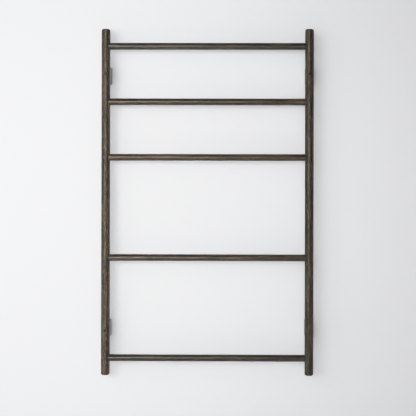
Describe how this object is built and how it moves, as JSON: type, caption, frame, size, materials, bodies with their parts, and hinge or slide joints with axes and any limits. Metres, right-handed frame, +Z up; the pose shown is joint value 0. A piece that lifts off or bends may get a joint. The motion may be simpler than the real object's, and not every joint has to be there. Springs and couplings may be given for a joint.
{
  "type": "wall-mounted towel rack",
  "caption": "Unheated wall-hung towel ladder: two round dark oak posts joined by round rungs, held off the wall by grey block brackets that lock onto hidden wall plates.",
  "frame": {"origin": "on the wall plane, at the middle of the frame's width and of the posts' length", "axes": "+Z up along the posts; +X to the right as seen from the room; +Y into the wall, so the rack's front faces -Y"},
  "size_m": [0.688, 0.08, 1.12],
  "materials": {
    "dark_oak": "dark grey-brown stained oak, oiled to a soft satin, with open grain",
    "plug_oak": "dark stained oak face plug, sanded flush",
    "bracket_grey": "satin grey",
    "plate_steel": "zinc-plated",
    "screw_steel": "bright zinc-plated"
  },
  "bodies": {
    "root": {"left_post": "dark_oak", "right_post": "dark_oak", "top_rung": "dark_oak", "second_rung": "dark_oak", "third_rung": "dark_oak", "fourth_rung": "dark_oak", "bottom_rung": "dark_oak", "upper_left_bracket": "bracket_grey", "upper_left_wall_plate": "plate_steel", "upper_left_post_screw": "screw_steel", "upper_left_plug": "plug_oak", "upper_left_grub_screw": "screw_steel", "upper_right_bracket": "bracket_grey", "upper_right_wall_plate": "plate_steel", "upper_right_post_screw": "screw_steel", "upper_right_plug": "plug_oak", "upper_right_grub_screw": "screw_steel", "lower_left_bracket": "bracket_grey", "lower_left_wall_plate": "plate_steel", "lower_left_post_screw": "screw_steel", "lower_left_plug": "plug_oak", "lower_left_grub_screw": "screw_steel", "lower_right_bracket": "bracket_grey", "lower_right_wall_plate": "plate_steel", "lower_right_post_screw": "screw_steel", "lower_right_plug": "plug_oak", "lower_right_grub_screw": "screw_steel"}
  },
  "joints": []
}
